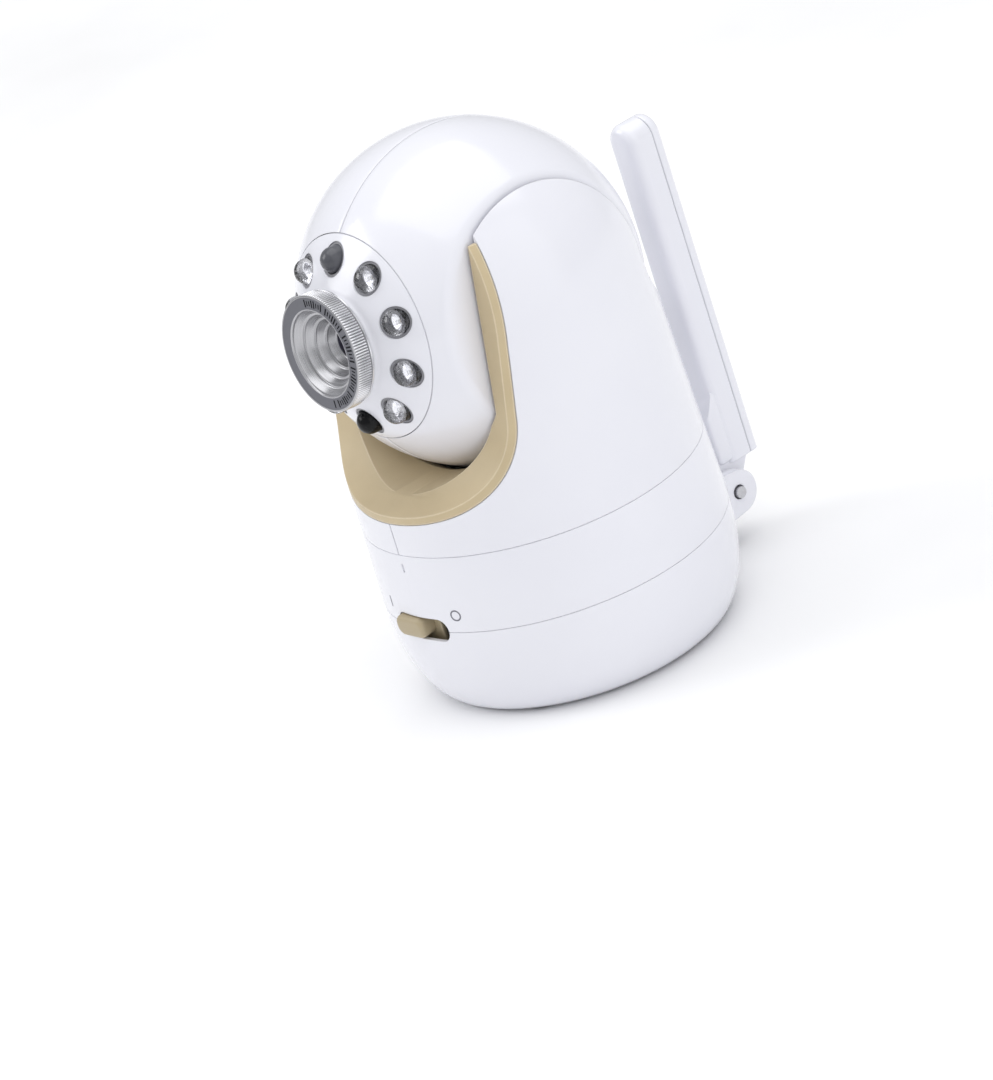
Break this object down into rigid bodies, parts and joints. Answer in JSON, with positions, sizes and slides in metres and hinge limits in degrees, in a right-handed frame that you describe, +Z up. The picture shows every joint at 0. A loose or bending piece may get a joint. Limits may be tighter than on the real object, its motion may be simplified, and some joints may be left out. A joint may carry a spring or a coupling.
{
  "type": "baby monitor camera",
  "caption": "Pan and tilt baby monitor camera: ball head with a hooded lens and infrared lamps in a forked turret on a round base, with a fold-back antenna.",
  "frame": {"origin": "where the pan axis meets the surface that the rubber foot pad stands on", "axes": "+Z up along the pan axis, -Y the front that the lens looks along at zero pan, +X the right-hand side as seen from the front"},
  "size_m": [0.0702, 0.0894, 0.1087],
  "materials": {
    "white_gloss": "glossy",
    "tan_satin": "satin",
    "hood_metal": "turned and knurled",
    "lamp_clear": "clear epoxy over a bright cup",
    "sensor_grey": "glossy",
    "sensor_black": "glossy",
    "lens_black": "matt black",
    "lens_glass": "coated",
    "foot_rubber": "matt",
    "board_green": "solder mask",
    "steel": "satin",
    "nylon": "natural",
    "dark_plastic": "matt"
  },
  "bodies": {
    "base": {"base_shell": "white_gloss", "base_cover": "white_gloss", "foot_pad": "foot_rubber", "base_screw_1": "steel", "base_screw_2": "steel", "base_screw_3": "steel", "ballast_plate": "steel", "main_board": "board_green", "radio_shield": "steel", "power_jack": "steel", "switch_body": "dark_plastic", "pan_motor": "steel", "antenna_pin": "steel"},
    "power_slider": {"power_slider": "tan_satin"},
    "pair_button": {"pair_button": "tan_satin"},
    "antenna": {"antenna_front": "white_gloss", "antenna_back": "white_gloss", "antenna_radiator": "steel"},
    "turret": {"turret_shell_left": "white_gloss", "turret_shell_right": "white_gloss", "mouth_bezel": "tan_satin", "turret_hub": "nylon", "turret_screw_1": "steel", "turret_screw_2": "steel", "turret_screw_3": "steel", "turret_screw_4": "steel", "pan_gear": "nylon", "pan_retainer": "steel", "tilt_axle_left": "nylon", "tilt_axle_right": "nylon", "tilt_gear": "nylon", "speaker": "dark_plastic"},
    "pan_pinion": {"pan_pinion": "nylon"},
    "head": {"head_shell_left": "white_gloss", "head_shell_right": "white_gloss", "tilt_bush_left": "nylon", "tilt_bush_right": "nylon", "tilt_motor": "steel", "front_plate": "white_gloss", "lamp_board": "board_green", "ir_lamp_1": "lamp_clear", "ir_lamp_2": "lamp_clear", "ir_lamp_3": "lamp_clear", "ir_lamp_4": "lamp_clear", "ir_lamp_5": "lamp_clear", "ir_lamp_6": "lamp_clear", "ir_lamp_7": "lamp_clear", "ir_lamp_8": "lamp_clear", "light_sensor": "sensor_grey", "night_sensor": "sensor_black", "lens_holder": "dark_plastic", "sensor_board": "board_green"},
    "tilt_pinion": {"tilt_pinion": "nylon"},
    "lens_barrel": {"lens_barrel": "lens_black", "lens_glass": "lens_glass"},
    "lens_hood": {"lens_hood": "hood_metal"}
  },
  "joints": [
    {"name": "power_switch", "type": "slide", "parent": "base", "child": "power_slider", "axis": [1, 0, 0], "range_m": [0, 0.0058]},
    {"name": "pair_press", "type": "slide", "parent": "base", "child": "pair_button", "axis": [0, 0, 1], "range_m": [0, 0.0006], "stiffness_N_per_m": 600, "springref_m": -0.0003},
    {"name": "antenna_fold", "type": "hinge", "parent": "base", "child": "antenna", "pos_m": [0, 0.042, 0.011], "axis": [-1, 0, 0], "range_deg": [0, 90]},
    {"name": "pan", "type": "hinge", "parent": "base", "child": "turret", "pos_m": [0, 0, 0.0365], "axis": [0, 0, 1], "range_deg": [-135, 135]},
    {"name": "pan_drive", "type": "hinge", "parent": "base", "child": "pan_pinion", "pos_m": [0.02014, 0, 0.029], "axis": [0, 0, 1], "range_deg": [-541, 541]},
    {"name": "tilt", "type": "hinge", "parent": "turret", "child": "head", "pos_m": [0, 0, 0.0754], "axis": [-1, 0, 0], "range_deg": [-28, 84]},
    {"name": "tilt_drive", "type": "hinge", "parent": "head", "child": "tilt_pinion", "pos_m": [-0.0194, 0.00532, 0.06273], "axis": [-1, 0, 0], "range_deg": [-68, 202]},
    {"name": "lens_travel", "type": "slide", "parent": "head", "child": "lens_barrel", "axis": [0, -0.9921, 0.1253], "range_m": [0, 0.00051]},
    {"name": "hood_turn", "type": "hinge", "parent": "lens_barrel", "child": "lens_hood", "pos_m": [0, 0, 0.0754], "axis": [0, -0.9921, 0.1253], "range_deg": [0, 360]}
  ],
  "couplings": [
    {"joint": "pan_drive", "follows": "pan", "ratio": -4},
    {"joint": "tilt_drive", "follows": "tilt", "ratio": 2.4},
    {"joint": "lens_travel", "follows": "hood_turn", "m_per_rad": 0.000079577}
  ]
}
